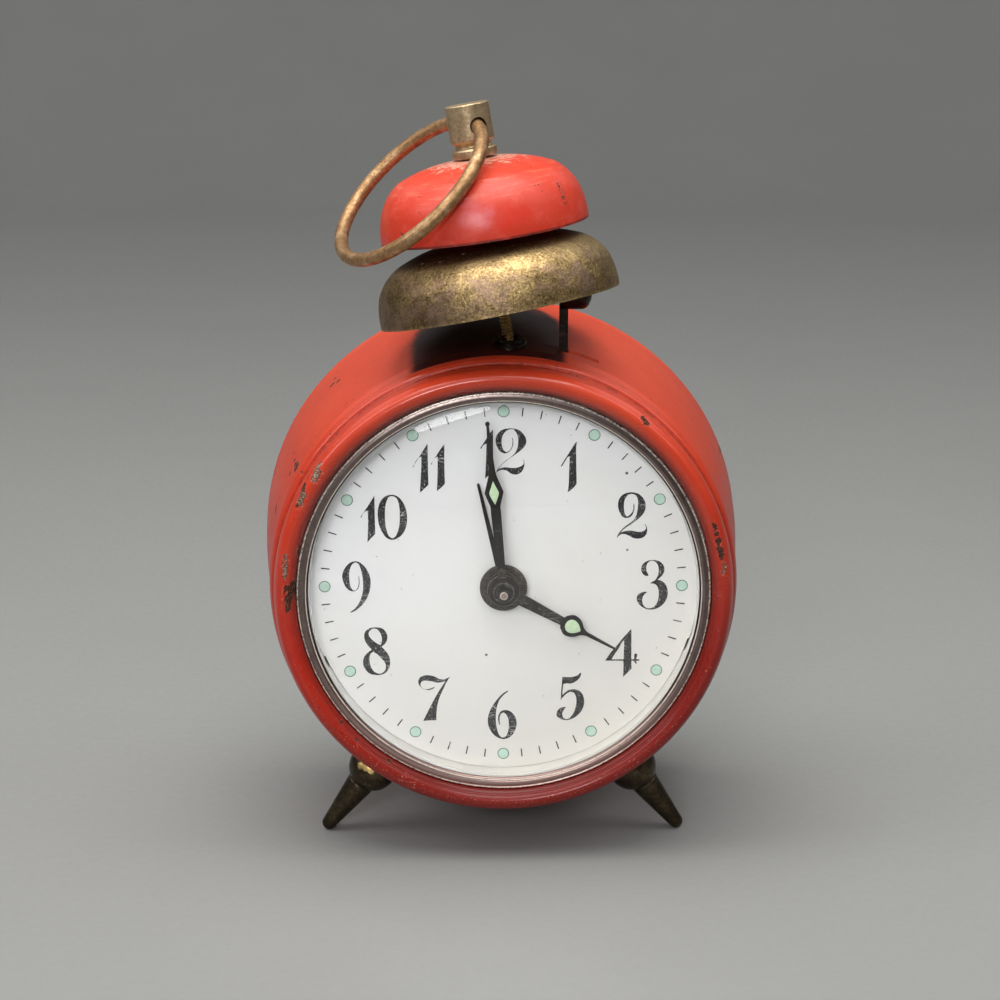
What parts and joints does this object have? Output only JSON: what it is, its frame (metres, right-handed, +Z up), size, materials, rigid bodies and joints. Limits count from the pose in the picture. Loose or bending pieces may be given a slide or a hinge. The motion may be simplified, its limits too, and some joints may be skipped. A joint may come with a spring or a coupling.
{
  "type": "analog alarm clock",
  "caption": "Wind-up analog alarm clock with a round red case on splayed feet, two stacked bells on a bent post, a side hammer and a carrying ring.",
  "frame": {"origin": "on the surface the clock stands on, under the middle of its overall depth and on the dial's vertical centreline", "axes": "+X to the right seen from the dial side, +Y to the back along the hands' arbor, +Z up; the dial faces -Y"},
  "size_m": [0.0759, 0.0538, 0.1125],
  "materials": {
    "red_paint": "gloss, chipped",
    "nickel": "polished nickel",
    "crystal": "clear",
    "white_enamel": "satin, yellowed",
    "cover_steel": "plated, dull",
    "steel": "worn",
    "dark_brass": "patinated",
    "brass": "satin",
    "black_paint": "satin",
    "spring_steel": "blued"
  },
  "bodies": {
    "clock": {"case_body": "red_paint", "front_bezel": "red_paint", "crystal_ring": "nickel", "crystal": "crystal", "dial_ring": "white_enamel", "dial": "white_enamel", "back_cover": "cover_steel", "back_screws": "steel", "front_foot_left": "dark_brass", "front_foot_right": "dark_brass", "rear_foot": "dark_brass", "foot_nuts": "steel", "post_nut": "steel", "post_washer": "steel", "bell_post": "steel", "bell_seat": "steel", "brass_bell": "dark_brass", "bell_spacer": "dark_brass", "red_bell": "red_paint", "finial": "dark_brass", "front_plate": "brass", "back_plate": "brass", "pillars": "brass", "plate_nuts": "steel", "back_posts": "brass", "time_mainspring": "spring_steel", "alarm_mainspring": "spring_steel", "hairspring": "spring_steel"},
    "ring": {"ring_handle": "dark_brass"},
    "minute_train": {"centre_arbor": "steel", "centre_wheel": "brass", "cannon_pinion": "steel", "minute_hand": "black_paint", "time_set_knob": "brass"},
    "hour_train": {"hour_wheel": "brass", "hour_hand": "black_paint"},
    "minute_wheel_body": {"minute_wheel": "brass"},
    "alarm_pointer": {"alarm_wheel": "brass", "alarm_hand": "black_paint"},
    "third": {"third_wheel": "brass"},
    "time_great": {"time_great_wheel": "brass", "time_click": "steel"},
    "fourth": {"fourth_wheel": "brass"},
    "escape": {"escape_wheel": "brass"},
    "fork": {"pallet_fork": "steel"},
    "balance": {"balance_wheel": "brass"},
    "regulator_lever": {"regulator": "steel"},
    "time_winder": {"time_wind_arbor": "steel", "time_key": "brass"},
    "alarm_winder": {"alarm_wind_arbor": "steel", "alarm_key": "brass"},
    "alarm_great": {"alarm_great_wheel": "brass", "alarm_click": "steel"},
    "alarm_escape": {"alarm_escape_wheel": "brass"},
    "hammer": {"hammer_arbor": "steel", "hammer_stem": "steel", "hammer_head": "steel"},
    "alarm_setter": {"alarm_set_arbor": "steel", "alarm_set_knob": "brass"},
    "alarm_stop": {"alarm_stop_plunger": "brass"}
  },
  "joints": [
    {"name": "minute_turn", "type": "hinge", "parent": "clock", "child": "minute_train", "pos_m": [0, -0.01558, 0.0418], "axis": [0, 1, 0], "continuous": true},
    {"name": "hour_turn", "type": "hinge", "parent": "clock", "child": "hour_train", "pos_m": [0, -0.01558, 0.0418], "axis": [0, 1, 0], "continuous": true},
    {"name": "minute_wheel_turn", "type": "hinge", "parent": "clock", "child": "minute_wheel_body", "pos_m": [-0.011, -0.01258, 0.037], "axis": [0, 1, 0], "continuous": true},
    {"name": "third_turn", "type": "hinge", "parent": "clock", "child": "third", "pos_m": [-0.00619, -0.00558, 0.05065], "axis": [0, 1, 0], "continuous": true},
    {"name": "time_great_turn", "type": "hinge", "parent": "clock", "child": "time_great", "pos_m": [-0.0124, -0.00858, 0.03336], "axis": [0, 1, 0], "continuous": true},
    {"name": "fourth_turn", "type": "hinge", "parent": "clock", "child": "fourth", "pos_m": [-0.01384, -0.00558, 0.05507], "axis": [0, 1, 0], "continuous": true},
    {"name": "escape_turn", "type": "hinge", "parent": "clock", "child": "escape", "pos_m": [-0.00736, -0.00558, 0.05961], "axis": [0, 1, 0], "continuous": true},
    {"name": "fork_rock", "type": "hinge", "parent": "clock", "child": "fork", "pos_m": [-0.002, -0.00558, 0.06155], "axis": [0, 1, 0], "range_deg": [-4, 4]},
    {"name": "balance_swing", "type": "hinge", "parent": "clock", "child": "balance", "pos_m": [0.0052, -0.00558, 0.0618], "axis": [0, 1, 0], "range_deg": [-135, 135], "stiffness_Nm_per_rad": 0.0000035, "deforming": ["hairspring"]},
    {"name": "regulator_turn", "type": "hinge", "parent": "clock", "child": "regulator_lever", "pos_m": [0.0052, 0.00542, 0.0618], "axis": [0, 1, 0], "range_deg": [-20, 20]},
    {"name": "time_winding", "type": "hinge", "parent": "clock", "child": "time_winder", "pos_m": [-0.0124, 0.01442, 0.03336], "axis": [0, 1, 0], "continuous": true, "deforming": ["time_mainspring"]},
    {"name": "alarm_winding", "type": "hinge", "parent": "clock", "child": "alarm_winder", "pos_m": [0.0124, 0.01442, 0.03336], "axis": [0, 1, 0], "continuous": true, "deforming": ["alarm_mainspring"]},
    {"name": "alarm_great_turn", "type": "hinge", "parent": "clock", "child": "alarm_great", "pos_m": [0.0124, -0.00858, 0.03336], "axis": [0, 1, 0], "continuous": true},
    {"name": "alarm_escape_turn", "type": "hinge", "parent": "clock", "child": "alarm_escape", "pos_m": [0.0129, -0.00558, 0.04685], "axis": [0, 1, 0], "continuous": true},
    {"name": "hammer_swing", "type": "hinge", "parent": "clock", "child": "hammer", "pos_m": [0.009, -0.00758, 0.0524], "axis": [0, 1, 0], "range_deg": [-5, 4.5]},
    {"name": "alarm_set_turn", "type": "hinge", "parent": "clock", "child": "alarm_setter", "pos_m": [0.00587, 0.01442, 0.05284], "axis": [0, 1, 0], "continuous": true},
    {"name": "alarm_pointer_turn", "type": "hinge", "parent": "clock", "child": "alarm_pointer", "pos_m": [0, -0.01558, 0.0418], "axis": [0, 1, 0], "continuous": true},
    {"name": "alarm_stop_slide", "type": "slide", "parent": "clock", "child": "alarm_stop", "axis": [0, -1, 0], "range_m": [0, 0.0025]},
    {"name": "ring_swing", "type": "hinge", "parent": "clock", "child": "ring", "pos_m": [-0.00483, -0.00766, 0.10912], "axis": [-0.4162, 0.9076, 0.0559], "range_deg": [0, 254]}
  ],
  "couplings": [
    {"joint": "hour_turn", "follows": "minute_turn", "ratio": 0.083333},
    {"joint": "minute_wheel_turn", "follows": "minute_turn", "ratio": -0.33333},
    {"joint": "third_turn", "follows": "minute_turn", "ratio": -8},
    {"joint": "time_great_turn", "follows": "minute_turn", "ratio": -0.2},
    {"joint": "escape_turn", "follows": "fourth_turn", "ratio": -8},
    {"joint": "alarm_escape_turn", "follows": "alarm_great_turn", "ratio": -4},
    {"joint": "alarm_pointer_turn", "follows": "alarm_set_turn", "ratio": -0.25}
  ]
}
